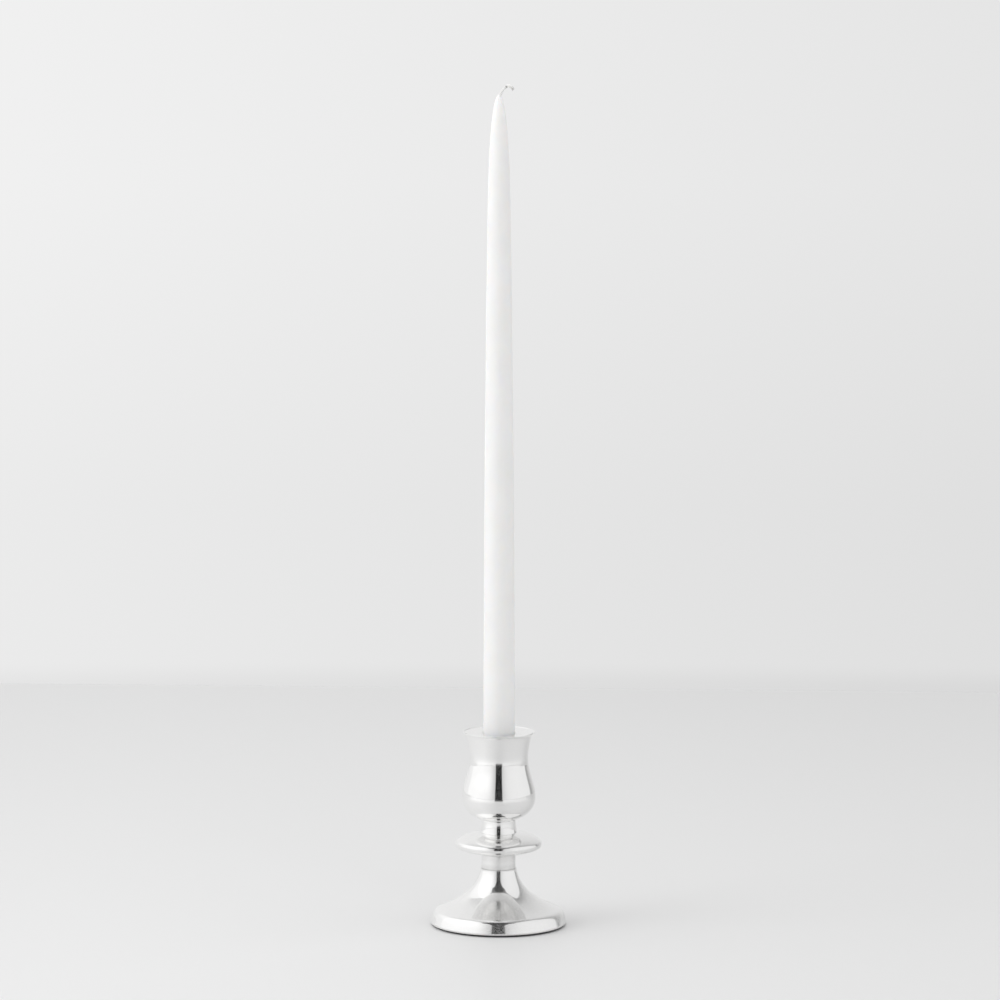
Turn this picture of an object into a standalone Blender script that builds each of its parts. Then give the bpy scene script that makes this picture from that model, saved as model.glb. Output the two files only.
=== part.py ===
"""Altar candlestick with a removable nozzle and a dipped taper candle.

Units are metres, +Z is up.  The origin is the centre of the felt's underside,
so the candlestick stands on the plane z = 0 and every turned piece shares the
Z axis.  Every turned piece is drawn as a closed outline in the X-Z plane and
swept round the axis with a Screw modifier.
"""

import math

import bmesh
import bpy
from mathutils import Vector

# ---------------------------------------------------------------- dimensions
MM = 0.001
GAP = 0.3                    # clearance between neighbouring pieces, mm

STEPS = 40                   # facets round a large turned piece
STEPS_SMALL = 24             # facets round the hardware

# foot
FOOT_R = 46.5                # widest radius of the foot
FOOT_EDGE_Z = 1.1            # the metal edge stands clear of the table
FOOT_SKIRT_Z = 2.6           # height of the widest point
FOOT_SHOULDER_R = 41.5       # where the trumpet turns into the shoulder
FOOT_SHOULDER_Z = 11.2
FOOT_TOP_R = 12.35           # small ledge under the collar
FOOT_TOP_Z = 39.5
FOOT_WALL = 1.2
FOOT_WEB = 2.2               # thickness of the foot's closed top
FOOT_LIP_IN_R = 45.3         # inside radius of the skirt

# column pieces
SPIGOT_R = 7.0               # centring spigots turned on foot, disc and cup
SPIGOT_H = 2.0
BORE_R = 3.4                 # clearance bore for the tie rod
COLLAR_R = 11.7
COLLAR_Z0 = FOOT_TOP_Z + GAP
COLLAR_Z1 = 48.9
DISC_BOTTOM_Z = COLLAR_Z1 + GAP
DISC_R = 29.7                # saucer knop
DISC_EDGE_Z = 56.3
DISC_TOP_Z = 64.6
DISC_TOP_R = 12.4
NECK_Z0 = DISC_TOP_Z + GAP
NECK_Z1 = 73.2
NECK_R = 11.65
NECK_FOOT_R = 12.4

# tulip cup
CUP_Z0 = NECK_Z1 + GAP
CUP_FOOT_R = 11.6
CUP_BULGE_R = 25.3
CUP_BULGE_Z = 88.9
CUP_WAIST_R = 20.1
CUP_WAIST_Z = 116.3
CUP_FLARE_R = 22.35
CUP_FLARE_Z = 131.2
CUP_RIM_R = 24.7
CUP_RIM_Z = 134.5
CUP_WALL = 1.2
CUP_LIP = 0.8                # wall at the lip
CUP_WEB = 2.4                # floor of the cup

# loose nozzle: drip pan and socket tube in one piece
PAN_R = 23.05
PAN_EDGE_Z = 134.2
PAN_MOUTH_Z = 133.65         # the pan dips a little towards the socket
SOCKET_R = 11.15             # inside radius, for a 7/8 inch taper
SOCKET_WALL = 0.8
SOCKET_FLOOR_Z = 112.5       # upper face of the socket's floor
PAN_SHEET = 0.8

# candle
CANDLE_Z0 = SOCKET_FLOOR_Z + GAP
CANDLE_BUTT_R = 10.8
CANDLE_SHOULDER_R = 7.7      # where the dipped nose begins
CANDLE_SHOULDER_Z = 500.3
CANDLE_TIP_R = 1.7
CANDLE_TIP_Z = 570.9
WICK_BORE_R = 1.15
WICK_R = 0.85
WICK_STUB_RISE = 6.5         # top of the stub's bend above the wax tip
WICK_STUB_REACH = 7.2        # how far the bend stands to the side
WICK_END_REACH = 10.2
WICK_END_DROP = 2.8          # how far the end hangs below the bend

# things inside the foot
FELT_R = 45.0
FELT_T = 1.5
PLATE_R = 45.0
PLATE_T = 1.0
PLATE_Z0 = FELT_T + GAP
WEIGHT_Z0 = PLATE_Z0 + PLATE_T + GAP
WEIGHT_R = 43.9
WEIGHT_TOP_R = 9.5
WEIGHT_TOP_Z = FOOT_TOP_Z - FOOT_WEB - GAP
POCKET_R = 12.5              # pocket in the weight for nut and washers
POCKET_TOP_Z = 14.4

# fasteners
ROD_R = 3.0
WASHER_R = 9.0
WASHER_T = 1.5
LOCK_R = 5.6
LOCK_T = 1.4
NUT_FLATS = 10.0             # M6 nut across its flats
NUT_H = 5.0


# ------------------------------------------------------------------- helpers
def bezier(p0, p1, p2, p3, count, include_start=True):
    """Points along a cubic curve, as (radius, height) pairs."""
    points = []
    for i in range(0 if include_start else 1, count + 1):
        t = i / count
        s = 1.0 - t
        points.append(tuple(
            s ** 3 * a + 3 * s * s * t * b + 3 * s * t * t * c + t ** 3 * d
            for a, b, c, d in zip(p0, p1, p2, p3)))
    return points


def offset_inward(points, distance):
    """The outline moved by distance towards the axis side of its own slope.

    The outline runs top to bottom on the outer side, so the inside of the
    wall lies to its right-hand side seen along the outline.
    """
    moved = []
    for i, (r, z) in enumerate(points):
        r0, z0 = points[max(i - 1, 0)]
        r1, z1 = points[min(i + 1, len(points) - 1)]
        dr, dz = r1 - r0, z1 - z0
        length = math.hypot(dr, dz) or 1.0
        step = distance if not callable(distance) else distance(z)
        moved.append((r + dz / length * step, z - dr / length * step))
    return moved


def material(name, colour, roughness, metallic):
    made = bpy.data.materials.new(name)
    made.use_nodes = True
    shader = made.node_tree.nodes["Principled BSDF"]
    shader.inputs["Base Color"].default_value = (*colour, 1.0)
    shader.inputs["Roughness"].default_value = roughness
    shader.inputs["Metallic"].default_value = metallic
    made.diffuse_color = (*colour, 1.0)
    return made


def place(obj, parent, finish):
    bpy.context.scene.collection.objects.link(obj)
    obj.parent = parent
    obj.data.materials.append(finish)
    return obj


def smooth(mesh, degrees=32.0):
    mesh.shade_smooth()
    mesh.set_sharp_from_angle(angle=math.radians(degrees))


def turned(name, outline, parent, finish, steps=STEPS):
    """Sweep a closed outline of (radius, height) in mm round the Z axis.

    The outline runs down the outer side and back up the inner one.  Points
    at radius 0 close the piece on the axis.
    """
    mesh = bpy.data.meshes.new(name)
    bm = bmesh.new()
    verts = [bm.verts.new((r * MM, 0.0, z * MM)) for r, z in outline]
    on_axis = outline[0][0] == 0.0 and outline[-1][0] == 0.0
    for a, b in zip(verts, verts[1:]):
        bm.edges.new((a, b))
    if not on_axis:
        bm.edges.new((verts[-1], verts[0]))
    bm.to_mesh(mesh)
    bm.free()
    obj = place(bpy.data.objects.new(name, mesh), parent, finish)
    screw = obj.modifiers.new("turn", 'SCREW')
    screw.axis = 'Z'
    screw.angle = math.tau
    screw.steps = steps
    screw.render_steps = steps
    screw.use_merge_vertices = True
    screw.merge_threshold = 0.00001
    screw.use_smooth_shade = True
    return obj


def hex_nut(name, z0, height, flats, bore, parent, finish):
    """A hexagon nut with chamfered corners and a plain bore."""
    mesh = bpy.data.meshes.new(name)
    bm = bmesh.new()
    corner = flats / math.sqrt(3.0)
    bmesh.ops.create_circle(bm, cap_ends=True, segments=6, radius=corner * MM)
    base = list(bm.faces)
    lifted = bmesh.ops.extrude_face_region(bm, geom=base)
    top = [v for v in lifted["geom"] if isinstance(v, bmesh.types.BMVert)]
    bmesh.ops.translate(bm, verts=top, vec=Vector((0, 0, height * MM)))
    rims = [e for e in bm.edges
            if abs(e.verts[0].co.z - e.verts[1].co.z) < 1e-7]
    bmesh.ops.bevel(bm, geom=rims, offset=0.5 * MM, segments=1, profile=0.5,
                    affect='EDGES')
    bmesh.ops.recalc_face_normals(bm, faces=bm.faces)
    bm.to_mesh(mesh)
    bm.free()
    nut = place(bpy.data.objects.new(name, mesh), parent, finish)
    nut.location = (0, 0, z0 * MM)

    cutter_mesh = bpy.data.meshes.new(name + "_bore")
    bm = bmesh.new()
    bmesh.ops.create_cone(bm, cap_ends=True, segments=STEPS_SMALL,
                          radius1=bore * MM, radius2=bore * MM,
                          depth=(height + 4.0) * MM)
    bm.to_mesh(cutter_mesh)
    bm.free()
    cutter = bpy.data.objects.new(name + "_bore", cutter_mesh)
    bpy.context.scene.collection.objects.link(cutter)
    cutter.parent = parent
    cutter.location = (0, 0, (z0 + height / 2) * MM)
    cutter.hide_render = True
    cutter.display_type = 'WIRE'
    cut = nut.modifiers.new("bore", 'BOOLEAN')
    cut.operation = 'DIFFERENCE'
    cut.solver = 'EXACT'
    cut.object = cutter
    return nut


# ------------------------------------------------------------ clear the scene
for old in list(bpy.data.objects):
    bpy.data.objects.remove(old, do_unlink=True)


def empty(name, location=(0, 0, 0), parent=None):
    made = bpy.data.objects.new(name, None)
    made.empty_display_size = 0.02
    bpy.context.scene.collection.objects.link(made)
    made.location = location
    made.parent = parent
    return made


stand = empty("stand_frame")
nozzle_frame = empty("nozzle_frame")             # on the nozzle's lift axis
candle_frame = empty("candle_frame", parent=nozzle_frame)

SILVER = material("silver_plate", (0.86, 0.86, 0.85), 0.10, 1.0)
SILVER_IN = material("silver_nozzle", (0.85, 0.85, 0.84), 0.14, 1.0)
IRON = material("cast_iron", (0.12, 0.12, 0.125), 0.75, 0.9)
STEEL = material("zinc_steel", (0.55, 0.56, 0.57), 0.35, 1.0)
FELT = material("felt", (0.045, 0.045, 0.05), 0.95, 0.0)
WAX = material("wax", (0.90, 0.89, 0.87), 0.45, 0.0)
COTTON = material("cotton", (0.80, 0.79, 0.76), 0.85, 0.0)


# ------------------------------------------------------------------ the foot
def foot_outside():
    """Trumpet, shoulder and skirt, from the top ledge down to the edge."""
    points = bezier((FOOT_TOP_R, FOOT_TOP_Z - 0.4), (14.6, 26.2),
                    (24.3, 18.2), (FOOT_SHOULDER_R, FOOT_SHOULDER_Z), 11)
    points += bezier((FOOT_SHOULDER_R, FOOT_SHOULDER_Z), (45.0, 9.8),
                     (45.25, 7.5), (FOOT_R, FOOT_SKIRT_Z), 5,
                     include_start=False)
    return points


outside = foot_outside()
inside = [p for p in offset_inward(outside, FOOT_WALL)
          if WEIGHT_Z0 - 0.2 < p[1] < FOOT_TOP_Z - FOOT_WEB - 1.5]
outline = [(SPIGOT_R - 0.3, FOOT_TOP_Z + SPIGOT_H), (SPIGOT_R, FOOT_TOP_Z + SPIGOT_H - 0.3),
           (SPIGOT_R, FOOT_TOP_Z), (FOOT_TOP_R - 0.4, FOOT_TOP_Z)]
outline += outside
outline += [(FOOT_R - 0.05, FOOT_EDGE_Z + 0.4), (FOOT_R - 0.5, FOOT_EDGE_Z),
            (FOOT_LIP_IN_R, FOOT_EDGE_Z), (FOOT_LIP_IN_R, WEIGHT_Z0 - 0.3)]
outline += inside[::-1]
outline += [(11.2, FOOT_TOP_Z - FOOT_WEB), (BORE_R, FOOT_TOP_Z - FOOT_WEB),
            (BORE_R, FOOT_TOP_Z + SPIGOT_H)]
turned("foot_shell", outline, stand, SILVER)

# cast weight: follows the inside of the foot, with a pocket for the hardware
follow = [p for p in offset_inward(outside, FOOT_WALL + 0.6)
          if WEIGHT_Z0 + 2.0 < p[1] < WEIGHT_TOP_Z - 2.0][::2]
outline = [(WEIGHT_TOP_R, WEIGHT_TOP_Z)] + follow
outline += [(WEIGHT_R, WEIGHT_Z0 + 1.0), (WEIGHT_R - 0.8, WEIGHT_Z0),
            (POCKET_R, WEIGHT_Z0), (POCKET_R, POCKET_TOP_Z),
            (BORE_R, POCKET_TOP_Z), (BORE_R, WEIGHT_TOP_Z)]
turned("ballast_weight", outline, stand, IRON)

turned("base_plate",
       [(0.0, PLATE_Z0 + PLATE_T), (PLATE_R - 0.2, PLATE_Z0 + PLATE_T),
        (PLATE_R, PLATE_Z0 + PLATE_T - 0.2), (PLATE_R, PLATE_Z0 + 0.2),
        (PLATE_R - 0.2, PLATE_Z0), (0.0, PLATE_Z0)],
       stand, STEEL)
turned("felt_pad",
       [(0.0, FELT_T), (FELT_R - 0.3, FELT_T), (FELT_R, FELT_T - 0.3),
        (FELT_R, 0.2), (FELT_R - 0.2, 0.0), (0.0, 0.0)],
       stand, FELT)

# ---------------------------------------------------------------- the column
turned("lower_collar",
       [(SPIGOT_R + GAP, COLLAR_Z1), (COLLAR_R - 0.2, COLLAR_Z1),
        (COLLAR_R, COLLAR_Z1 - 0.2), (COLLAR_R, COLLAR_Z0 + 0.2),
        (COLLAR_R - 0.2, COLLAR_Z0), (SPIGOT_R + GAP, COLLAR_Z0)],
       stand, SILVER)

outline = [(SPIGOT_R - 0.3, DISC_TOP_Z + SPIGOT_H),
           (SPIGOT_R, DISC_TOP_Z + SPIGOT_H - 0.3),
           (SPIGOT_R, DISC_TOP_Z)]
outline += bezier((DISC_TOP_R, DISC_TOP_Z), (18.5, 63.6), (25.0, 61.6),
                  (28.75, 58.65), 6)
outline += bezier((28.75, 58.65), (29.45, 58.0), (DISC_R, 57.2),
                  (DISC_R, DISC_EDGE_Z), 2, include_start=False)
outline += bezier((DISC_R, DISC_EDGE_Z), (DISC_R, 55.3), (29.3, 54.5),
                  (28.4, 53.9), 2, include_start=False)
outline += bezier((28.4, 53.9), (25.6, 52.2), (18.0, 50.4),
                  (COLLAR_R + 0.3, DISC_BOTTOM_Z), 5, include_start=False)
outline += [(SPIGOT_R, DISC_BOTTOM_Z),
            (SPIGOT_R, DISC_BOTTOM_Z - SPIGOT_H + 0.3),
            (SPIGOT_R - 0.3, DISC_BOTTOM_Z - SPIGOT_H),
            (BORE_R, DISC_BOTTOM_Z - SPIGOT_H), (BORE_R, DISC_TOP_Z + SPIGOT_H)]
turned("drip_disc", outline, stand, SILVER)

turned("upper_neck",
       [(SPIGOT_R + GAP, NECK_Z1), (NECK_R - 0.25, NECK_Z1),
        (NECK_R, NECK_Z1 - 0.25), (NECK_R + 0.15, NECK_Z1 - 3.7),
        (NECK_R + 0.35, NECK_Z0 + 3.1), (NECK_FOOT_R - 0.05, NECK_Z0 + 0.5),
        (NECK_FOOT_R, NECK_Z0), (SPIGOT_R + GAP, NECK_Z0)],
       stand, SILVER)


# ------------------------------------------------------------------- the cup
def cup_outside():
    """Lip, waist, bulge and bowl, from the lip's edge down to the neck."""
    points = bezier((CUP_RIM_R, CUP_RIM_Z - 0.25), (23.7, 133.5),
                    (22.75, 132.7), (CUP_FLARE_R, CUP_FLARE_Z), 3)
    points += bezier((CUP_FLARE_R, CUP_FLARE_Z), (21.5, 127.5),
                     (CUP_WAIST_R, 122.3), (CUP_WAIST_R, CUP_WAIST_Z), 4,
                     include_start=False)
    points += bezier((CUP_WAIST_R, CUP_WAIST_Z), (CUP_WAIST_R, 106.4),
                     (CUP_BULGE_R, 98.7), (CUP_BULGE_R, CUP_BULGE_Z), 7,
                     include_start=False)
    points += bezier((CUP_BULGE_R, CUP_BULGE_Z), (CUP_BULGE_R, 82.8),
                     (21.4, 76.4), (CUP_FOOT_R, CUP_Z0), 6,
                     include_start=False)
    return points


def cup_wall(z):
    """Wall thickness: full in the body, thinner towards the lip."""
    t = min(max((z - CUP_WAIST_Z) / (CUP_RIM_Z - CUP_WAIST_Z), 0.0), 1.0)
    return CUP_WALL + (CUP_LIP - CUP_WALL) * t


outside = cup_outside()
CUP_FLOOR_Z = CUP_Z0 + CUP_WEB
inside = [p for p in offset_inward(outside, cup_wall)
          if CUP_FLOOR_Z + 0.4 < p[1] < CUP_RIM_Z - 0.3]
outline = [(CUP_RIM_R - 0.55, CUP_RIM_Z), (CUP_RIM_R - 0.15, CUP_RIM_Z)]
outline += outside
outline += [(SPIGOT_R, CUP_Z0), (SPIGOT_R, CUP_Z0 - SPIGOT_H + 0.3),
            (SPIGOT_R - 0.3, CUP_Z0 - SPIGOT_H),
            (BORE_R, CUP_Z0 - SPIGOT_H), (BORE_R, CUP_FLOOR_Z),
            (11.5, CUP_FLOOR_Z)]
outline += inside[::-1]
turned("candle_cup", outline, stand, SILVER)

# ---------------------------------------------------------------- the nozzle
SOCKET_OUT_R = SOCKET_R + SOCKET_WALL
SOCKET_BOTTOM_Z = SOCKET_FLOOR_Z - SOCKET_WALL
outline = [(SOCKET_R, PAN_MOUTH_Z - 0.5), (SOCKET_R + 0.5, PAN_MOUTH_Z)]
outline += [(16.0, PAN_MOUTH_Z + 0.08), (PAN_R - 2.2, PAN_EDGE_Z - 0.25),
            (PAN_R, PAN_EDGE_Z)]
outline += [(PAN_R - 1.0, PAN_EDGE_Z - 0.95),
            (PAN_R - 3.4, PAN_EDGE_Z - PAN_SHEET - 0.6),
            (SOCKET_OUT_R + 0.8, PAN_MOUTH_Z - PAN_SHEET),
            (SOCKET_OUT_R, PAN_MOUTH_Z - PAN_SHEET - 0.8),
            (SOCKET_OUT_R, SOCKET_BOTTOM_Z + 1.0),
            (SOCKET_OUT_R - 1.0, SOCKET_BOTTOM_Z), (0.0, SOCKET_BOTTOM_Z)]
outline = [(0.0, SOCKET_FLOOR_Z), (SOCKET_R, SOCKET_FLOOR_Z)] + outline
turned("candle_nozzle", outline, nozzle_frame, SILVER_IN)


# ---------------------------------------------------------------- the candle
outline = bezier((CANDLE_TIP_R, CANDLE_TIP_Z), (6.4, 567.3), (7.15, 531.3),
                 (CANDLE_SHOULDER_R, CANDLE_SHOULDER_Z), 8)
outline += bezier((CANDLE_SHOULDER_R, CANDLE_SHOULDER_Z), (9.4, 401.3),
                  (CANDLE_BUTT_R - 0.05, 241.3),
                  (CANDLE_BUTT_R, CANDLE_Z0 + 0.8), 6, include_start=False)
outline += [(CANDLE_BUTT_R - 0.8, CANDLE_Z0), (WICK_BORE_R, CANDLE_Z0),
            (WICK_BORE_R, CANDLE_TIP_Z)]
turned("taper_candle", outline, candle_frame, WAX, steps=32)


def wick_route():
    """Straight up the bore, then the curled stub above the wax tip."""
    z_tip = CANDLE_TIP_Z
    points = [(0.0, CANDLE_Z0 + 0.6), (0.0, z_tip - 1.1)]
    points += bezier((0.0, z_tip - 1.1), (0.3, z_tip + 2.0),
                     (WICK_STUB_REACH - 2.2, z_tip + WICK_STUB_RISE + 0.5),
                     (WICK_STUB_REACH, z_tip + WICK_STUB_RISE), 9,
                     include_start=False)
    points += bezier((WICK_STUB_REACH, z_tip + WICK_STUB_RISE),
                     (WICK_STUB_REACH + 1.2, z_tip + WICK_STUB_RISE - 0.3),
                     (WICK_END_REACH - 0.8, z_tip + WICK_STUB_RISE - 1.2),
                     (WICK_END_REACH, z_tip + WICK_STUB_RISE - WICK_END_DROP),
                     4, include_start=False)
    return points


curve = bpy.data.curves.new("candle_wick", 'CURVE')
curve.dimensions = '3D'
curve.bevel_depth = WICK_R * MM
curve.bevel_resolution = 2
curve.use_fill_caps = True
route = wick_route()
spline = curve.splines.new('POLY')
spline.points.add(len(route) - 1)
for point, (x, z) in zip(spline.points, route):
    point.co = (x * MM, 0.0, z * MM, 1.0)
wick = place(bpy.data.objects.new("candle_wick", curve), candle_frame, COTTON)

# -------------------------------------------------- rod, nuts and washers
NUT_SEAT_Z = POCKET_TOP_Z - GAP
BASE_WASHER_Z0 = NUT_SEAT_Z - WASHER_T
LOCK_Z0 = BASE_WASHER_Z0 - GAP - LOCK_T
BASE_NUT_Z0 = LOCK_Z0 - GAP - NUT_H
CUP_WASHER_Z0 = CUP_FLOOR_Z + GAP
CUP_NUT_Z0 = CUP_WASHER_Z0 + WASHER_T + GAP
ROD_Z0 = BASE_NUT_Z0 - 1.0
ROD_Z1 = CUP_NUT_Z0 + NUT_H + 2.0

turned("tie_rod",
       [(0.0, ROD_Z1), (ROD_R - 0.5, ROD_Z1), (ROD_R, ROD_Z1 - 0.5),
        (ROD_R, ROD_Z0 + 0.5), (ROD_R - 0.5, ROD_Z0), (0.0, ROD_Z0)],
       stand, STEEL, steps=STEPS_SMALL)


def washer(name, z0, radius, thickness):
    return turned(name,
                  [(ROD_R + GAP, z0 + thickness), (radius - 0.2, z0 + thickness),
                   (radius, z0 + thickness - 0.2), (radius, z0),
                   (ROD_R + GAP, z0)],
                  stand, STEEL, steps=STEPS_SMALL)


washer("cup_washer", CUP_WASHER_Z0, WASHER_R, WASHER_T)
washer("base_washer", BASE_WASHER_Z0, WASHER_R, WASHER_T)
hex_nut("cup_nut", CUP_NUT_Z0, NUT_H, NUT_FLATS, ROD_R + GAP, stand, STEEL)
hex_nut("base_nut", BASE_NUT_Z0, NUT_H, NUT_FLATS, ROD_R + GAP, stand, STEEL)


def split_washer(name, z0, radius, inner, thickness, split_degrees, lead):
    """Spring lock washer: a square-section ring, split and slightly risen."""
    mesh = bpy.data.meshes.new(name)
    bm = bmesh.new()
    start = math.radians(split_degrees / 2)
    sweep = math.tau - 2 * start
    section = [(radius, thickness), (radius, 0.0), (inner, 0.0),
               (inner, thickness)]
    turn = Vector((math.cos(start), math.sin(start), 0.0))
    verts = [bm.verts.new((turn.x * r * MM, turn.y * r * MM, z * MM))
             for r, z in section]
    face = bm.faces.new(verts)
    bmesh.ops.spin(bm, geom=[face], cent=(0, 0, 0), axis=(0, 0, 1),
                   dvec=(0, 0, lead * MM / STEPS_SMALL), angle=sweep,
                   steps=STEPS_SMALL, use_duplicate=False)
    bmesh.ops.recalc_face_normals(bm, faces=bm.faces)
    bm.to_mesh(mesh)
    bm.free()
    made = place(bpy.data.objects.new(name, mesh), stand, STEEL)
    made.location = (0, 0, z0 * MM)
    return made


split_washer("lock_washer", LOCK_Z0, LOCK_R, ROD_R + GAP, LOCK_T - 0.3,
             16.0, 0.3)

for obj in bpy.data.objects:
    if obj.type == 'MESH' and not obj.hide_render:
        smooth(obj.data)
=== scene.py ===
"""Looks of the altar candlestick: fine turned silver, wax taper, plaited wick.

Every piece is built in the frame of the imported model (metres, +Z up).
Sizes below are in millimetres and repeat the design dimensions of the part.
"""

import math

import bpy
import numpy as np
from mathutils import Matrix, Vector, noise


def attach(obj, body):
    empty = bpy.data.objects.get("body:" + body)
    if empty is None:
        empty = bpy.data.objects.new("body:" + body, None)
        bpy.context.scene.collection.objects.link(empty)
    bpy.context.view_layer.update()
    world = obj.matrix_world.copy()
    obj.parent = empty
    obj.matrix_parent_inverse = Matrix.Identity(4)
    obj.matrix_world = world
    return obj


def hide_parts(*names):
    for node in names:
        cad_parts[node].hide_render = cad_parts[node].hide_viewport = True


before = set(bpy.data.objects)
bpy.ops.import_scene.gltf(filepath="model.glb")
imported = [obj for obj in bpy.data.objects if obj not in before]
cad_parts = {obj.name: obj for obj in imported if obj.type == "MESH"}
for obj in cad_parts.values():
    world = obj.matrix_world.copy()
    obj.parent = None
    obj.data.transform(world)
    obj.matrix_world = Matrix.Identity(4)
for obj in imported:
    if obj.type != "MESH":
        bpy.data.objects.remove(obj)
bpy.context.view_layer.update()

MM = 0.001
SEG = 192                       # facets round the large turned pieces


# =====================================================================
# outline helpers: everything is (radius, height) in mm
# =====================================================================
def bez(p0, p1, p2, p3, n=20, first=True):
    out = []
    for i in range(0 if first else 1, n + 1):
        t = i / n
        s = 1 - t
        out.append(tuple(s ** 3 * a + 3 * s * s * t * b + 3 * s * t * t * c
                         + t ** 3 * d for a, b, c, d in zip(p0, p1, p2, p3)))
    return out


def line(p0, p1, n=4, first=True):
    return [(p0[0] + (p1[0] - p0[0]) * i / n, p0[1] + (p1[1] - p0[1]) * i / n)
            for i in range(0 if first else 1, n + 1)]


def rounded(points, n=5):
    """points are (r, z) or (r, z, corner_radius); corners become arcs."""
    out = []
    m = len(points)
    for i, p in enumerate(points):
        rad = p[2] if len(p) > 2 else 0.0
        q = np.array(p[:2], float)
        if rad <= 0 or i in (0, m - 1):
            out.append(tuple(q))
            continue
        a = np.array(points[i - 1][:2], float) - q
        b = np.array(points[i + 1][:2], float) - q
        la, lb = np.linalg.norm(a), np.linalg.norm(b)
        a, b = a / la, b / lb
        half = math.acos(max(-1, min(1, float(a @ b)))) / 2
        cut = min(rad / math.tan(half), 0.49 * la, 0.49 * lb)
        start, end = q + a * cut, q + b * cut
        for k in range(n + 1):
            t = k / n
            out.append(tuple((1 - t) ** 2 * start + 2 * t * (1 - t) * q
                             + t * t * end))
    return out


def inward(points, distance):
    """The outline moved towards the inside of the wall by distance(z)."""
    out = []
    for i, (r, z) in enumerate(points):
        r0, z0 = points[max(i - 1, 0)]
        r1, z1 = points[min(i + 1, len(points) - 1)]
        dr, dz = r1 - r0, z1 - z0
        ln = math.hypot(dr, dz) or 1.0
        d = distance(z) if callable(distance) else distance
        out.append((r + dz / ln * d, z - dr / ln * d))
    return out


def lathe(name, outline, seg=SEG, warp=None, seams_and_shade=(), smooth_deg=38.0):
    """Turn a closed outline about Z.  It runs down the outer side and back
    up the inner one; ends at radius 0 close on the axis.  A vertex
    attribute marks where dirt and tarnish gather at joints and, under the
    drip disc, painted shade over the whole underside."""
    pts = [p for k, p in enumerate(outline)
           if k == 0 or math.hypot(p[0] - outline[k - 1][0],
                                   p[1] - outline[k - 1][1]) > 1e-5]
    on_axis = pts[0][0] == 0 and pts[-1][0] == 0
    verts, faces, uvs, index = [], [], [], []
    run, total = [0.0], 0.0
    for a, b in zip(pts, pts[1:]):
        total += math.hypot(b[0] - a[0], b[1] - a[1])
        run.append(total)
    for r, z in pts:
        if r == 0:
            index.append([len(verts)] * seg)
            verts.append((0.0, 0.0, z * MM))
            continue
        row = []
        for j in range(seg):
            a = math.tau * j / seg
            x, y, h = r * math.cos(a), r * math.sin(a), z
            if warp:
                x, y, h = warp(x, y, h, r, a)
            row.append(len(verts))
            verts.append((x * MM, y * MM, h * MM))
        index.append(row)
    pairs = list(zip(range(len(pts)), range(1, len(pts))))
    if not on_axis:
        pairs.append((len(pts) - 1, 0))
    for i, k in pairs:
        v0, v1 = run[i] / 100, (run[k] / 100 if k else run[i] / 100 + 0.01)
        for j in range(seg):
            jn = (j + 1) % seg
            u0, u1 = j / seg, (j + 1) / seg
            quad = [(index[i][j], u0, v0), (index[k][j], u0, v1),
                    (index[k][jn], u1, v1), (index[i][jn], u1, v0)]
            seen, face, fuv = set(), [], []
            for v, u, w in quad:
                if v not in seen:
                    seen.add(v)
                    face.append(v)
                    fuv.append((u, w))
            if len(face) > 2:
                faces.append(face)
                uvs.extend(fuv)
    mesh = bpy.data.meshes.new(name)
    mesh.from_pydata(verts, [], faces)
    layer = mesh.uv_layers.new(name="turned")
    layer.data.foreach_set("uv", np.array(uvs, np.float32).ravel())
    mesh.shade_smooth()
    mesh.set_sharp_from_angle(angle=math.radians(smooth_deg))
    co = np.array(verts) / MM
    rad = np.hypot(co[:, 0], co[:, 1])
    mask = np.zeros(len(co))
    for r, z, width in seams_and_shade:
        d = np.hypot(rad - r, co[:, 2] - z)
        mask = np.maximum(mask, np.exp(-(d / width) ** 2))
    attr = mesh.attributes.new("seam_and_shade", 'FLOAT', 'POINT')
    attr.data.foreach_set("value", mask.astype(np.float32))
    mesh.validate()
    obj = bpy.data.objects.new(name, mesh)
    bpy.context.scene.collection.objects.link(obj)
    return obj


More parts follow.
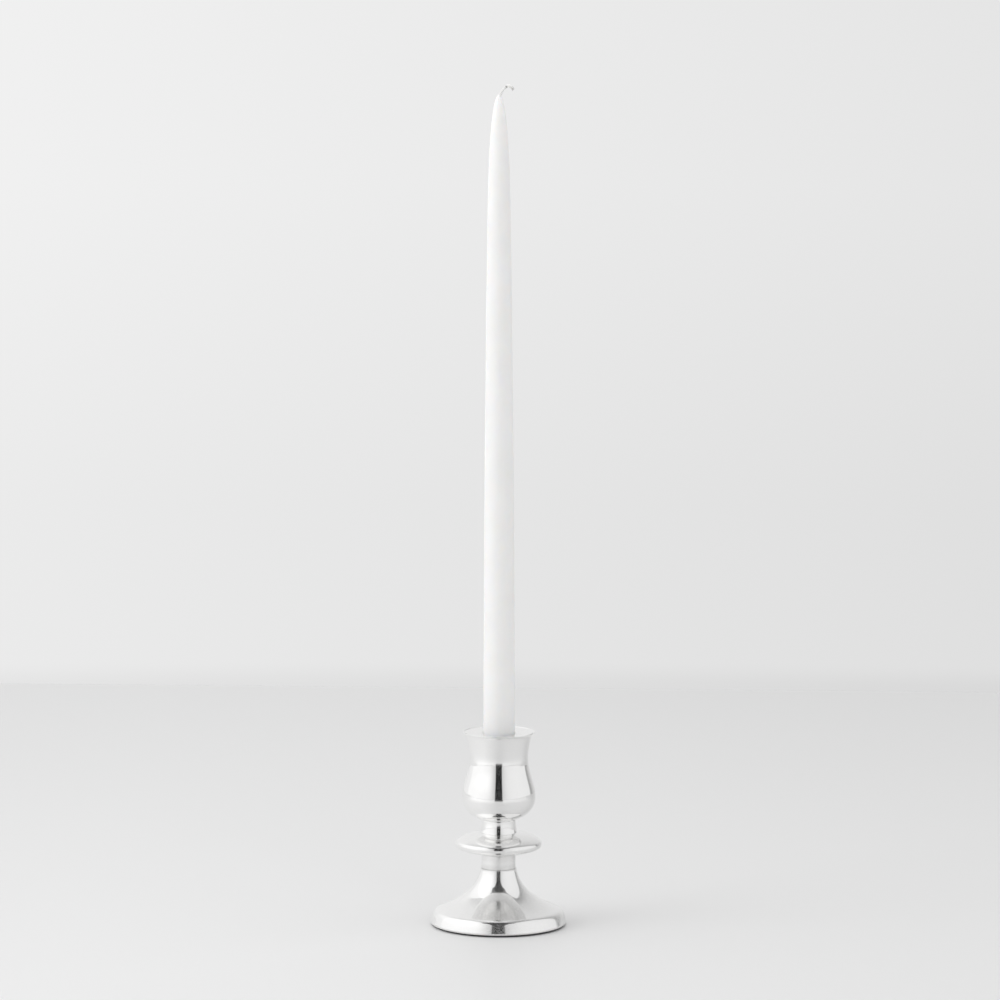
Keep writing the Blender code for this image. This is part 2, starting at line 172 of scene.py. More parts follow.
# =====================================================================
# node helpers
# =====================================================================
class Nodes:
    def __init__(self, name, world=False):
        if world:
            self.owner = bpy.data.worlds.new(name)
        else:
            self.owner = bpy.data.materials.new(name)
        self.owner.use_nodes = True
        self.tree = self.owner.node_tree
        self.tree.nodes.clear()

    def add(self, kind, **props):
        node = self.tree.nodes.new(kind)
        for key, value in props.items():
            setattr(node, key, value)
        return node

    def link(self, a, b):
        self.tree.links.new(a, b)

    def feed(self, socket, value):
        if isinstance(value, bpy.types.NodeSocket):
            self.link(value, socket)
        elif value is not None:
            socket.default_value = value

    def math(self, op, a, b=None, c=None, clamp=False):
        node = self.add('ShaderNodeMath', operation=op, use_clamp=clamp)
        self.feed(node.inputs[0], a)
        self.feed(node.inputs[1], b)
        self.feed(node.inputs[2], c)
        return node.outputs[0]

    def span(self, value, lo, hi, to_lo=0.0, to_hi=1.0, smooth=True):
        node = self.add('ShaderNodeMapRange',
                        interpolation_type='SMOOTHSTEP' if smooth else 'LINEAR')
        node.clamp = True
        self.feed(node.inputs['Value'], value)
        self.feed(node.inputs['From Min'], lo)
        self.feed(node.inputs['From Max'], hi)
        self.feed(node.inputs['To Min'], to_lo)
        self.feed(node.inputs['To Max'], to_hi)
        return node.outputs['Result']

    def mix(self, factor, a, b):
        """Mix of two numbers."""
        node = self.add('ShaderNodeMix', data_type='FLOAT')
        self.feed(node.inputs[0], factor)
        self.feed(node.inputs[2], a)
        self.feed(node.inputs[3], b)
        return node.outputs[0]

    def tint(self, factor, a, b, blend='MIX'):
        node = self.add('ShaderNodeMix', data_type='RGBA', blend_type=blend)
        self.feed(node.inputs[0], factor)
        for socket, value in ((node.inputs[6], a), (node.inputs[7], b)):
            if isinstance(value, tuple) and len(value) == 3:
                value = (*value, 1.0)
            self.feed(socket, value)
        return node.outputs[2]

    def noise(self, vector, scale, detail=2.0, rough=0.5, distort=0.0):
        node = self.add('ShaderNodeTexNoise')
        self.link(vector, node.inputs['Vector'])
        node.inputs['Scale'].default_value = scale
        node.inputs['Detail'].default_value = detail
        node.inputs['Roughness'].default_value = rough
        node.inputs['Distortion'].default_value = distort
        return node.outputs['Fac']

    def mapped(self, vector, scale=(1, 1, 1), rotation=(0, 0, 0)):
        node = self.add('ShaderNodeMapping')
        self.link(vector, node.inputs['Vector'])
        node.inputs['Scale'].default_value = scale
        node.inputs['Rotation'].default_value = rotation
        return node.outputs[0]

    def ramp(self, value, stops, interpolation='LINEAR'):
        node = self.add('ShaderNodeValToRGB')
        ramp = node.color_ramp
        ramp.interpolation = interpolation
        while len(ramp.elements) > 1:
            ramp.elements.remove(ramp.elements[-1])
        for k, (pos, level) in enumerate(stops):
            el = ramp.elements[0] if k == 0 else ramp.elements.new(pos)
            el.position = pos
            if isinstance(level, (int, float)):
                level = (level, level, level)
            el.color = (*level, 1.0)
        self.feed(node.inputs[0], value)
        return node.outputs['Color']

    def bump(self, height, distance, strength=1.0, normal=None):
        node = self.add('ShaderNodeBump')
        node.inputs['Strength'].default_value = strength
        node.inputs['Distance'].default_value = distance
        self.link(height, node.inputs['Height'])
        if normal is not None:
            self.link(normal, node.inputs['Normal'])
        return node.outputs[0]

    def principled(self, **values):
        node = self.add('ShaderNodeBsdfPrincipled')
        for key, value in values.items():
            name = key.replace('_', ' ')
            self.feed(node.inputs[name], value)
        out = self.add('ShaderNodeOutputMaterial')
        self.link(node.outputs[0], out.inputs['Surface'])
        return node


def object_coords(n):
    return n.add('ShaderNodeTexCoord').outputs['Object']


# =====================================================================
# materials
# =====================================================================
def silver(name, shade=(0.945, 0.943, 0.938), rough=0.03, haze=0.64, wave=1.0):
    """Polished silver plate: slow waviness from spinning and buffing, fine
    turning rings, buffing haze, hairline scratches, soft smudges, and a
    darker line where two pieces meet; under the drip disc the same darkening
    spreads wide as painted shade.  A lower haze number is a duller
    surface: more of the finest buffing lines scatter light."""
    n = Nodes(name)
    at = object_coords(n)
    uv = n.add('ShaderNodeTexCoord').outputs['UV']
    seam_and_shade = n.add('ShaderNodeAttribute', attribute_name="seam_and_shade").outputs['Fac']

    # hairline scratches in three directions, sparse
    hair = None
    for turn, squeeze in (((0.3, 0.2, 0.9), (2600, 90, 90)),
                          ((1.1, 0.7, 0.1), (90, 3100, 90)),
                          ((0.5, 1.3, 2.1), (80, 100, 2900))):
        streak = n.noise(n.mapped(at, squeeze, turn), 1.0, 2.0, 0.55, 0.15)
        streak = n.span(streak, 0.67, 0.75)
        hair = streak if hair is None else n.math('MAXIMUM', hair, streak)
    smudge = n.noise(at, 55.0, 4.0, 0.55, 0.6)
    patch = n.noise(at, 18.0, 2.0, 0.5)
    breath = n.span(n.math('MULTIPLY', smudge, patch), 0.20, 0.42)

    # buffing haze: the finest lines, much thinner than the eye resolves
    buff = n.noise(n.mapped(uv, (70, 5200, 1)), 1.0, 2.0, 0.5, 0.3)
    edge = n.math('SUBTRACT', haze, n.math('MULTIPLY', breath, 0.035))
    dull = n.span(n.math('SUBTRACT', buff, edge), -0.02, 0.02)

    # turning rings: the V coordinate runs along the outline, 1 = 100 mm
    split = n.add('ShaderNodeSeparateXYZ')
    n.link(uv, split.inputs[0])
    wander = n.math('MULTIPLY', n.noise(at, 30.0, 1.0), 0.004)
    along = n.math('ADD', split.outputs[1], wander)
    ring = n.math('SINE', n.math('MULTIPLY', along, math.tau * 100 / 0.55))
    ring2 = n.math('SINE', n.math('MULTIPLY', along, math.tau * 100 / 0.21))
    rings = n.math('ADD', n.math('MULTIPLY', ring, 0.6),
                   n.math('MULTIPLY', ring2, 0.4))

    # tarnish: strongest in the seams, with a broken edge; where the mask spreads under the drip
    # disc it is painted shade
    broken = n.noise(at, 420.0, 5.0, 0.6, 0.3)
    tarnish_and_shade = n.math('MULTIPLY', seam_and_shade, n.span(broken, 0.22, 0.55), clamp=True)
    veil = n.math('MULTIPLY', n.span(n.noise(at, 9.0, 3.0), 0.52, 0.75), 0.04)
    tarnish_shade_and_veil = n.math('ADD', n.math('MULTIPLY', tarnish_and_shade, 0.35), veil, clamp=True)

    cool = tuple(c * 0.985 for c in shade)
    base = n.tint(n.noise(at, 130.0, 3.0), shade, cool)
    # darker grey where the mask is: tarnish at joints, painted shade under the drip disc, and a
    # faint random veil of tarnish
    base = n.tint(tarnish_shade_and_veil, base, (0.46, 0.455, 0.445))
    base = n.tint(n.math('MULTIPLY', hair, 0.08), base, (0.72, 0.72, 0.715))

    r = n.math('ADD', rough, n.math('MULTIPLY', breath, 0.02))
    r = n.math('ADD', r, n.math('MULTIPLY', hair, 0.05))
    r = n.math('ADD', r, n.math('MULTIPLY', tarnish_and_shade, 0.15))
    r = n.math('ADD', r, n.math('MULTIPLY', dull, 0.36), clamp=True)

    slow = n.noise(at, 42.0, 1.0, 0.4)
    peel = n.noise(at, 900.0, 2.0, 0.5)
    b = n.bump(slow, 0.00004 * wave)
    b = n.bump(rings, 0.0000004, 1.0, b)
    b = n.bump(peel, 0.0000008, 1.0, b)
    b = n.bump(hair, 0.0000014, 0.8, b)
    n.principled(Base_Color=base, Metallic=1.0, Roughness=r, Normal=b)
    return n.owner


def wax(name):
    """Dipped white wax: faint dip rings and runs, soft bloom, translucent."""
    n = Nodes(name)
    at = object_coords(n)
    cloud = n.noise(at, 38.0, 4.0, 0.55)
    fine = n.noise(at, 420.0, 3.0, 0.6)
    runs = n.noise(n.mapped(at, (260, 260, 9)), 1.0, 2.0, 0.5, 0.2)
    dips = n.noise(n.mapped(at, (5, 5, 210)), 1.0, 2.0, 0.55, 0.4)
    base = n.tint(n.span(cloud, 0.3, 0.7), (0.93, 0.929, 0.924),
                  (0.905, 0.903, 0.897))
    base = n.tint(n.math('MULTIPLY', n.span(runs, 0.55, 0.75), 0.25), base,
                  (0.885, 0.882, 0.874))
    bloom = n.span(fine, 0.52, 0.74)
    base = n.tint(n.math('MULTIPLY', bloom, 0.35), base, (0.94, 0.94, 0.935))
    r = n.math('ADD', 0.36, n.math('MULTIPLY', cloud, 0.16))
    r = n.math('ADD', r, n.math('MULTIPLY', bloom, 0.12), clamp=True)
    b = n.bump(runs, 0.00012)
    b = n.bump(dips, 0.00010, 0.7, b)
    b = n.bump(fine, 0.000012, 1.0, b)
    node = n.principled(Base_Color=base, Roughness=r, Normal=b)
    node.inputs['IOR'].default_value = 1.44
    node.inputs['Subsurface Weight'].default_value = 0.55
    node.inputs['Subsurface Radius'].default_value = (1.0, 0.86, 0.72)
    node.inputs['Subsurface Scale'].default_value = 0.004
    node.inputs['Coat Weight'].default_value = 0.06
    node.inputs['Coat Roughness'].default_value = 0.3
    return n.owner


def cotton(name):
    """Waxed cotton wick: pale, with grey patches at the bend and at the end."""
    n = Nodes(name)
    at = object_coords(n)
    uv = n.add('ShaderNodeTexCoord').outputs['UV']
    grey_mark = n.add('ShaderNodeAttribute', attribute_name="grey_mark").outputs['Fac']
    fibre = n.noise(n.mapped(uv, (6, 900, 1), (0, 0, 0.5)), 1.0, 3.0, 0.6)
    lump = n.noise(at, 900.0, 3.0, 0.6)
    base = n.tint(fibre, (0.93, 0.925, 0.91), (0.84, 0.83, 0.81))
    base = n.tint(n.math('MULTIPLY', n.span(lump, 0.35, 0.65), 0.3), base,
                  (0.92, 0.915, 0.90))
    # grey patches where the mask is: at the bend and along the end
    grey_patch = n.math('MULTIPLY', grey_mark, n.span(lump, 0.25, 0.6), clamp=True)
    base = n.tint(grey_patch, base, (0.42, 0.415, 0.41))
    r = n.math('ADD', 0.55, n.math('MULTIPLY', fibre, 0.3), clamp=True)
    b = n.bump(fibre, 0.00005)
    b = n.bump(lump, 0.00004, 1.0, b)
    node = n.principled(Base_Color=base, Roughness=r, Normal=b)
    node.inputs['Subsurface Weight'].default_value = 0.15
    node.inputs['Subsurface Radius'].default_value = (1.0, 0.9, 0.8)
    node.inputs['Subsurface Scale'].default_value = 0.0008
    return n.owner


def felt(name):
    """Charcoal wool felt: matted fibres, lint."""
    n = Nodes(name)
    at = object_coords(n)
    matt = n.noise(at, 1600.0, 6.0, 0.7, 1.2)
    fibre = n.noise(n.mapped(at, (2600, 500, 900), (0.2, 0.1, 0.7)), 1.0, 4.0, 0.6, 0.8)
    fibre2 = n.noise(n.mapped(at, (500, 2600, 900), (0.4, 0.0, 0.3)), 1.0, 4.0, 0.6, 0.8)
    tangle = n.math('MAXIMUM', fibre, fibre2)
    cloud = n.noise(at, 60.0, 3.0)
    base = n.tint(n.span(tangle, 0.45, 0.75), (0.028, 0.028, 0.031),
                  (0.085, 0.084, 0.088))
    base = n.tint(n.math('MULTIPLY', cloud, 0.4), base, (0.055, 0.053, 0.055))
    lint = n.span(n.noise(at, 2300.0, 2.0, 0.5), 0.74, 0.8)
    base = n.tint(n.math('MULTIPLY', lint, 0.5), base, (0.30, 0.29, 0.28))
    r = n.math('ADD', 0.86, n.math('MULTIPLY', matt, 0.12), clamp=True)
    b = n.bump(matt, 0.0002)
    b = n.bump(tangle, 0.00025, 1.0, b)
    node = n.principled(Base_Color=base, Roughness=r, Normal=b)
    node.inputs['Sheen Weight'].default_value = 0.35
    node.inputs['Sheen Roughness'].default_value = 0.5
    return n.owner


def iron(name):
    """Sand-cast iron: grainy skin, dark, with rust blooms."""
    n = Nodes(name)
    at = object_coords(n)
    grain = n.noise(at, 900.0, 5.0, 0.65)
    lump = n.noise(at, 140.0, 3.0, 0.5)
    rust = n.span(n.noise(at, 75.0, 6.0, 0.65, 0.4), 0.56, 0.70)
    base = n.tint(grain, (0.085, 0.083, 0.082), (0.16, 0.157, 0.155))
    base = n.tint(n.math('MULTIPLY', rust, 0.7), base, (0.21, 0.085, 0.04))
    r = n.math('ADD', 0.62, n.math('MULTIPLY', grain, 0.25), clamp=True)
    metal = n.math('SUBTRACT', 0.85, n.math('MULTIPLY', rust, 0.75), clamp=True)
    b = n.bump(grain, 0.00018)
    b = n.bump(lump, 0.0003, 0.6, b)
    n.principled(Base_Color=base, Roughness=r, Metallic=metal, Normal=b)
    return n.owner


def zinc(name):
    """Zinc-plated steel hardware: brushed, slightly mottled."""
    n = Nodes(name)
    at = object_coords(n)
    brush = n.noise(n.mapped(at, (300, 300, 2600)), 1.0, 3.0, 0.6)
    spangle = n.noise(at, 320.0, 4.0, 0.6, 0.3)
    base = n.tint(spangle, (0.60, 0.61, 0.62), (0.50, 0.51, 0.515))
    base = n.tint(n.math('MULTIPLY', n.span(spangle, 0.58, 0.75), 0.35), base,
                  (0.62, 0.60, 0.52))
    r = n.math('ADD', 0.26, n.math('MULTIPLY', brush, 0.22), clamp=True)
    b = n.bump(brush, 0.00001)
    b = n.bump(spangle, 0.00001, 1.0, b)
    n.principled(Base_Color=base, Roughness=r, Metallic=1.0, Normal=b)
    return n.owner


SILVER = silver("silver_cup", haze=0.642)
SILVER_DISC = silver("silver_disc", haze=0.585, rough=0.05)
SILVER_NECK = silver("silver_neck", haze=0.635, rough=0.045)
SILVER_FOOT = silver("silver_foot", haze=0.575, rough=0.035)
SILVER_PAN = silver("silver_nozzle", shade=(0.94, 0.938, 0.932), haze=0.60,
                    rough=0.06)
WAX = wax("dipped_wax")
COTTON = cotton("waxed_cotton")
FELT = felt("charcoal_felt")
IRON = iron("cast_iron")
ZINC = zinc("zinc_steel")


def finish_piece(obj, body, material, slot, *nodes):
    obj.data.materials.append(material)
    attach(obj, body)
    if nodes:
        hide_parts(*nodes)
    return obj


# =====================================================================
# design dimensions (mm)
# =====================================================================
HAIR = 0.012                    # hairline left at each visible seam
SPIGOT_R, BORE_R = 7.0, 3.4
FOOT_TOP_Z = 39.5
COLLAR_R, COLLAR_TOP_Z = 11.7, 49.2
DISC_TOP_Z = 64.6
CUP_Z0 = 73.5

# ---------------------------------------------------------------- foot shell
foot_side = bez((12.35, 39.05), (14.6, 26.2), (24.3, 18.2), (41.5, 11.2), 56)
foot_side += bez((41.5, 11.2), (45.0, 9.8), (45.25, 7.5), (46.5, 2.6), 30,
                 first=False)
foot_inside = [p for p in inward(foot_side, 1.2)
               if 3.6 < p[1] < FOOT_TOP_Z - 4.2]
outline = rounded([(SPIGOT_R - 0.3, 41.5), (SPIGOT_R, 41.2),
                   (SPIGOT_R, FOOT_TOP_Z), (12.35, FOOT_TOP_Z, 0.3),
                   (12.35, 39.05)])
outline += foot_side[1:]
outline += bez((46.5, 2.6), (46.62, 2.0), (46.6, 1.25), (46.0, 1.1), 8,
               first=False)
outline += rounded([(46.0, 1.1), (45.3, 1.1, 0.2), (45.3, 3.3)])[1:]
outline += foot_inside[::-1]
outline += [(11.2, 37.3), (BORE_R, 37.3), (BORE_R, 41.5)]
foot = lathe("foot_shell_turned", outline,
             seams_and_shade=((11.9, 39.5, 0.7), (46.2, 1.0, 0.6)))
finish_piece(foot, "stand", SILVER_FOOT, "silver_plate", "foot_shell")

# -------------------------------------------------------------- lower collar
outline = rounded([(7.3, COLLAR_TOP_Z - HAIR), (COLLAR_R, COLLAR_TOP_Z - HAIR, 0.2),
                   (COLLAR_R, 44.0), (COLLAR_R + 0.02, FOOT_TOP_Z + HAIR, 0.2),
                   (7.3, FOOT_TOP_Z + HAIR)])
collar = lathe("lower_collar_turned", outline, seg=144,
               seams_and_shade=((COLLAR_R, FOOT_TOP_Z, 0.5), (COLLAR_R, COLLAR_TOP_Z, 0.5)))
finish_piece(collar, "stand", SILVER_NECK, "silver_plate", "lower_collar")

# ----------------------------------------------------------------- drip disc
outline = [(6.7, 66.6), (SPIGOT_R, 66.3), (SPIGOT_R, DISC_TOP_Z)]
outline += bez((12.4, DISC_TOP_Z), (18.5, 63.6), (25.0, 61.6), (28.75, 58.65),
               40)
outline += bez((28.75, 58.65), (29.45, 58.0), (29.7, 57.2), (29.7, 56.3), 12,
               first=False)
outline += bez((29.7, 56.3), (29.7, 55.3), (29.3, 54.5), (28.4, 53.9), 12,
               first=False)
outline += bez((28.4, 53.9), (25.6, 52.2), (18.0, 50.4), (12.0, COLLAR_TOP_Z),
               28, first=False)
outline += [(SPIGOT_R, COLLAR_TOP_Z), (SPIGOT_R, 47.5), (6.7, 47.2),
            (BORE_R, 47.2), (BORE_R, 66.6)]
# the first mark is tarnish at the collar joint; the second, 7 mm wide, is painted shade over the
# disc's underside
disc = lathe("drip_disc_turned", outline,
             seams_and_shade=((12.0, 49.2, 0.5), (18.5, 50.6, 7.0)))
finish_piece(disc, "stand", SILVER_DISC, "silver_plate", "drip_disc")

# ---------------------------------------------------------------- upper neck
outline = [(7.3, CUP_Z0 - HAIR), (11.4, CUP_Z0 - HAIR), (11.6, 73.2)]
outline += bez((11.6, 73.2), (11.65, 71.5), (11.75, 69.6), (11.95, 68.0), 12,
               first=False)
outline += bez((11.95, 68.0), (12.05, 67.2), (12.25, 65.6), (12.6, 64.6), 12,
               first=False)
outline += [(12.2, DISC_TOP_Z + HAIR), (7.3, DISC_TOP_Z + HAIR)]
neck = lathe("upper_neck_turned", outline, seg=144,
             seams_and_shade=((11.6, 73.4, 0.2),))
finish_piece(neck, "stand", SILVER_NECK, "silver_plate", "upper_neck")

# ---------------------------------------------------------------- candle cup
cup_side = bez((24.7, 134.25), (23.7, 133.5), (22.75, 132.7), (22.35, 131.2), 14)
cup_side += bez((22.35, 131.2), (21.5, 127.5), (20.1, 122.3), (20.1, 116.3),
                24, first=False)
cup_side += bez((20.1, 116.3), (20.1, 106.4), (25.3, 98.7), (25.3, 88.9),
                40, first=False)
cup_side += bez((25.3, 88.9), (25.3, 82.8), (21.4, 76.4), (11.6, CUP_Z0), 36,
                first=False)


def cup_wall(z):
    t = min(max((z - 116.3) / 18.2, 0.0), 1.0)
    return 1.2 + (0.72 - 1.2) * t


cup_inner = [p for p in inward(cup_side, cup_wall)
             if 76.3 < p[1] < 134.05]
lip = [(24.1, 134.15)] + bez((24.1, 134.15), (24.15, 134.58), (24.88, 134.64),
                             (24.7, 134.25), 10, first=False)
outline = lip + cup_side[1:]
outline += [(SPIGOT_R, CUP_Z0), (SPIGOT_R, 71.8), (6.7, 71.5), (BORE_R, 71.5),
            (BORE_R, 75.9), (11.5, 75.9)]
outline += cup_inner[::-1]
cup = lathe("candle_cup_turned", outline,
            seams_and_shade=((11.6, 73.5, 0.3),))
finish_piece(cup, "stand", SILVER, "silver_plate", "candle_cup")

# -------------------------------------------------------------------- nozzle
# the pan follows the inside of the flare with a hairline seam
flare = [p for p in inward(cup_side[:15], lambda z: cup_wall(z) + 0.02)
         if p[1] < 134.2]
seat = sorted([p for p in flare if 132.9 < p[1] < 134.0], key=lambda p: -p[1])
outline = [(0.0, 112.5)]
outline += rounded([(0.0, 112.5), (11.15, 112.5, 1.2), (11.15, 132.9),
                    (11.2, 133.68, 0.6), (16.5, 133.72), (20.8, 133.92),
                    (seat[0][0], 134.23, 0.10), seat[0]])[1:]
outline += seat[1:]
outline += rounded([(seat[-1][0], seat[-1][1]), (seat[-1][0] - 0.9, 132.92, 0.4),
                    (12.6, 132.85), (11.95, 132.05, 0.8), (11.95, 111.7, 1.0),
                    (0.0, 111.7)])[1:]
nozzle = lathe("candle_nozzle_turned", outline, seg=160,
               seams_and_shade=((11.2, 133.5, 0.3),))
finish_piece(nozzle, "nozzle", SILVER_PAN, "silver_nozzle", "candle_nozzle")

# -------------------------------------------------------------------- candle
CANDLE_Z0, TIP_Z = 112.8, 570.9


def candle_bow(z):
    """A dipped taper is never quite straight."""
    t = max(0.0, (z - 136.0) / (TIP_Z - 136.0))
    return -1.5 * t ** 1.15, 0.15 * math.sin(math.pi * t)


def candle_warp(x, y, z, r, a):
    bx, by = candle_bow(z)
    if z > CANDLE_Z0 + 0.5 and r > 1.0:
        slow = noise.noise(Vector((math.cos(a) * 0.8, math.sin(a) * 0.8, z / 34.0)))
        ripple = noise.noise(Vector((math.cos(a) * 0.5 + 7, math.sin(a) * 0.5, z / 6.5)))
        run = noise.noise(Vector((math.cos(a) * 3.2, math.sin(a) * 3.2, z / 140.0 + 3)))
        fade = min(1.0, max(0.0, (z - 136.0) / 10.0))
        grow = fade * (0.055 * slow + 0.018 * ripple + 0.03 * run)
        x += math.cos(a) * grow
        y += math.sin(a) * grow
    return x + bx, y + by, z


side = bez((7.7, 500.3), (9.4, 401.3), (10.75, 241.3), (10.8, 113.6), 150)
nose = bez((1.4, 570.4), (5.3, 565.9), (7.1, 531.3), (7.7, 500.3), 60)
meniscus = bez((0.0, 572.0), (0.8, 571.9), (1.1, 571.2), (1.4, 570.4), 8)
outline = meniscus + nose[1:] + side[1:] + rounded(
    [(10.8, 113.6), (10.8, CANDLE_Z0, 0.7), (0.0, CANDLE_Z0)])[1:]
candle = lathe("taper_candle_dipped", outline, seg=112, warp=candle_warp,
               smooth_deg=50)
finish_piece(candle, "candle", WAX, "wax", "taper_candle")


# ---------------------------------------------------------------------- wick
def wick_points():
    z = TIP_Z
    bx, by = candle_bow(z)
    pts = bez((0.0, z - 2.1), (0.3, z + 1.6), (4.4, z + 7.1), (6.6, z + 6.8), 48)
    pts += bez((6.6, z + 6.8), (7.8, z + 6.6), (8.9, z + 5.7), (9.8, z + 4.3),
               20, first=False)
    return [Vector((x + bx, by, h)) for x, h in pts]


def frames_along(pts):
    """Tangent, normal, binormal without twist."""
    out, up = [], Vector((0, 1, 0))
    for i, p in enumerate(pts):
        t = (pts[min(i + 1, len(pts) - 1)] - pts[max(i - 1, 0)]).normalized()
        nrm = (up - t * up.dot(t)).normalized()
        up = nrm
        out.append((t, nrm, t.cross(nrm)))
    return out


def plait(name, pts, strands=3, radius=0.46, strand_r=0.47, pitch=3.3,
          sides=12):
    """Three plaited strands round a path: each goes side to side and over
    and under, as a flat-plaited wick does, then the end frays."""
    frames = frames_along(pts)
    run = [0.0]
    for a, b in zip(pts, pts[1:]):
        run.append(run[-1] + (b - a).length)
    length = run[-1]
    verts, faces, uvs, grey_mark = [], [], [], []
    for s in range(strands):
        phase = math.tau * s / strands
        centre = []
        for (t, nrm, bi), p, d in zip(frames, pts, run):
            w = math.tau * d / pitch + phase
            end = max(0.0, (d - (length - 1.4)) / 1.4)
            spread = 1.0 + 0.55 * end * end
            off = (bi * math.sin(w) * radius * 1.05
                   + nrm * math.sin(2 * w) * radius * 0.62) * spread
            centre.append(p + off)
        cf = frames_along(centre)
        first = len(verts)
        for i, (c, (t, nrm, bi)) in enumerate(zip(centre, cf)):
            d = run[i]
            end = max(0.0, (d - (length - 1.0)) / 1.0)
            rr = strand_r * (1.0 - 0.45 * end ** 2)
            # mask for grey patches: at the bend and over the last 2.4 mm
            bend = math.exp(-((d - 0.62 * length) / 0.7) ** 2)
            greying = min(1.0, 0.85 * bend + 0.95 * max(0.0, (d - (length - 2.4)) / 2.4))
            for k in range(sides):
                a = math.tau * k / sides
                lump = 1.0 + 0.10 * noise.noise(Vector((d * 2.3, a, s * 5.0)))
                v = c + (nrm * math.cos(a) + bi * math.sin(a)) * rr * lump
                verts.append(tuple(v * MM))
                grey_mark.append(greying)
        rings = len(centre)
        for i in range(rings - 1):
            for k in range(sides):
                kn = (k + 1) % sides
                a0, a1 = first + i * sides + k, first + i * sides + kn
                b0, b1 = a0 + sides, a1 + sides
                faces.append((a0, a1, b1, b0))
                u0, u1 = k / sides, (k + 1) / sides
                v0, v1 = run[i] / 100, run[i + 1] / 100
                uvs += [(u0, v0), (u1, v0), (u1, v1), (u0, v1)]
        for ring, flip in ((0, True), (rings - 1, False)):
            middle = len(verts)
            verts.append(tuple(centre[ring] * MM))
            grey_mark.append(grey_mark[first + ring * sides])
            for k in range(sides):
                kn = (k + 1) % sides
                a0 = first + ring * sides + k
                a1 = first + ring * sides + kn
                faces.append((a1, a0, middle) if flip else (a0, a1, middle))
                uvs += [(0, 0), (1, 0), (0.5, 0.5)]
    mesh = bpy.data.meshes.new(name)
    mesh.from_pydata(verts, [], faces)
    layer = mesh.uv_layers.new(name="plait")
    layer.data.foreach_set("uv", np.array(uvs, np.float32).ravel())
    attr = mesh.attributes.new("grey_mark", 'FLOAT', 'POINT')
    attr.data.foreach_set("value", np.array(grey_mark, np.float32))
    mesh.shade_smooth()
    mesh.validate()
    obj = bpy.data.objects.new(name, mesh)
    bpy.context.scene.collection.objects.link(obj)
    return obj


wick = plait("candle_wick_plaited", wick_points())
finish_piece(wick, "candle", COTTON, "cotton", "candle_wick")

# ------------------------------------------------------------------ felt pad
outline = rounded([(0.0, 1.5), (45.0, 1.5, 0.3), (45.0, 0.0, 0.3), (0.0, 0.0)])


def felt_warp(x, y, z, r, a):
    if r > 44.0:
        fuzz = noise.noise(Vector((math.cos(a) * 60, math.sin(a) * 60, z * 2)))
        k = 1.0 + 0.0016 * fuzz
        x, y = x * k, y * k
    return x, y, z


pad = lathe("felt_pad_cut", outline, seg=360, warp=felt_warp)
finish_piece(pad, "stand", FELT, "felt", "felt_pad")

# ------------------------------------------------- carried-over CAD hardware
for node, material in (("base_plate", ZINC), ("ballast_weight", IRON),
                       ("tie_rod", ZINC), ("cup_washer", ZINC),
                       ("cup_nut", ZINC), ("base_washer", ZINC),
                       ("lock_washer", ZINC), ("base_nut", ZINC)):
    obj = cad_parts[node]
    obj.data.materials.clear()
    obj.data.materials.append(material)


